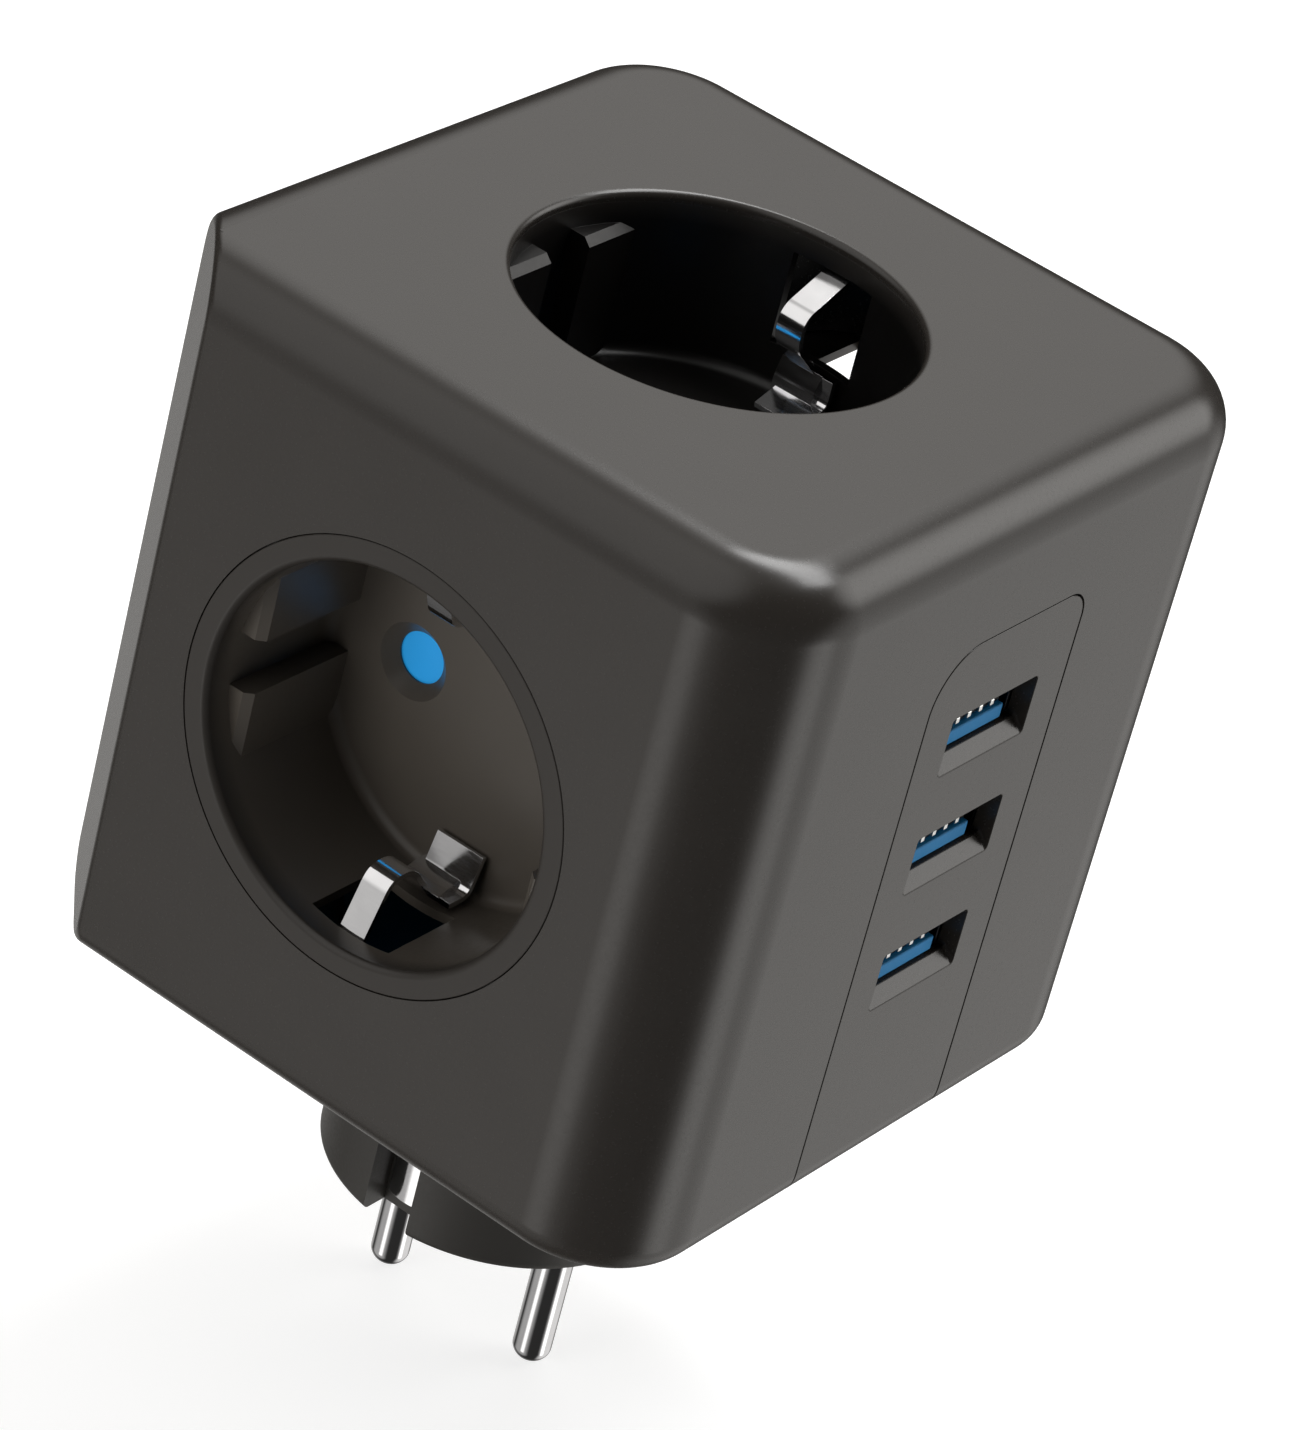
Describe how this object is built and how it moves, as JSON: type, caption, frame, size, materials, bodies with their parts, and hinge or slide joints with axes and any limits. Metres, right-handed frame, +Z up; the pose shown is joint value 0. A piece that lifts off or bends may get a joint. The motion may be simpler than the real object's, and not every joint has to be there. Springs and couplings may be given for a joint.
{
  "type": "cube travel adapter",
  "caption": "Cube travel adapter with recessed earthed sockets, USB charging ports and a round two-pin plug underneath.",
  "frame": {"origin": "centre of the plug's face, between the two pins, where the adapter rests on a wall socket's floor", "axes": "+Z up from the plug's face through the cube to the top socket; -Y towards the front socket; +X towards the USB ports"},
  "size_m": [0.0772, 0.0776, 0.1188],
  "materials": {
    "casing": "fine moulded grain, satin",
    "usb_panel": "fine moulded grain, satin",
    "dark_casing": "fine moulded grain, satin",
    "pins": "nickel plated, polished",
    "earth_metal": "stamped spring steel, bright",
    "insert": "satin moulded",
    "shutter": "smooth moulded",
    "spring_steel": "drawn wire",
    "carrier": "moulded",
    "busbar": "stamped sheet",
    "port_shell": "stamped sheet, nickel plated",
    "tongue": "moulded",
    "port_block": "moulded",
    "port_contacts": "plated",
    "board": "solder mask",
    "winding": "taped winding and core",
    "capacitor": "sleeved can",
    "live_lead": "insulated wire",
    "neutral_lead": "insulated wire",
    "screw": "plated steel"
  },
  "bodies": {
    "adapter": {"cube_shell": "casing", "base_cover": "dark_casing", "plug_base": "dark_casing", "plug_pin_live": "pins", "plug_pin_neutral": "pins", "plug_earth_strap": "earth_metal", "front_socket_insert": "insert", "back_socket_insert": "insert", "left_socket_insert": "insert", "top_socket_insert": "insert", "front_contact_carrier": "carrier", "back_contact_carrier": "carrier", "left_contact_carrier": "carrier", "top_contact_carrier": "carrier", "front_earth_clips": "earth_metal", "back_earth_clips": "earth_metal", "left_earth_clips": "earth_metal", "top_earth_clips": "earth_metal", "live_busbar": "busbar", "neutral_busbar": "busbar", "left_neutral_link": "busbar", "earth_busbar": "busbar", "usb_panel": "usb_panel", "usb_shell_upper": "port_shell", "usb_shell_middle": "port_shell", "usb_shell_lower": "port_shell", "usb_tongue_upper": "tongue", "usb_tongue_middle": "tongue", "usb_tongue_lower": "tongue", "usb_block_upper": "port_block", "usb_block_middle": "port_block", "usb_block_lower": "port_block", "usb_contacts_upper": "port_contacts", "usb_contacts_middle": "port_contacts", "usb_contacts_lower": "port_contacts", "usb_board": "board", "usb_transformer": "winding", "usb_capacitors": "capacitor", "usb_live_lead": "live_lead", "usb_neutral_lead": "neutral_lead", "cover_screws": "screw"},
    "front_shutter": {"front_shutter": "shutter", "front_shutter_spring": "spring_steel"},
    "back_shutter": {"back_shutter": "shutter", "back_shutter_spring": "spring_steel"},
    "left_shutter": {"left_shutter": "shutter", "left_shutter_spring": "spring_steel"},
    "top_shutter": {"top_shutter": "shutter", "top_shutter_spring": "spring_steel"}
  },
  "joints": [
    {"name": "front_shutter_turn", "type": "hinge", "parent": "adapter", "child": "front_shutter", "pos_m": [0, -0.0388, 0.062], "axis": [0, -1, 0], "range_deg": [0, 34], "stiffness_Nm_per_rad": 0.004},
    {"name": "back_shutter_turn", "type": "hinge", "parent": "adapter", "child": "back_shutter", "pos_m": [0, 0.0388, 0.062], "axis": [0, 1, 0], "range_deg": [0, 34], "stiffness_Nm_per_rad": 0.004},
    {"name": "left_shutter_turn", "type": "hinge", "parent": "adapter", "child": "left_shutter", "pos_m": [-0.0386, 0, 0.062], "axis": [-1, 0, 0], "range_deg": [0, 34], "stiffness_Nm_per_rad": 0.004},
    {"name": "top_shutter_turn", "type": "hinge", "parent": "adapter", "child": "top_shutter", "pos_m": [0, 0, 0.0998], "axis": [0, 0, 1], "range_deg": [0, 34], "stiffness_Nm_per_rad": 0.004}
  ]
}
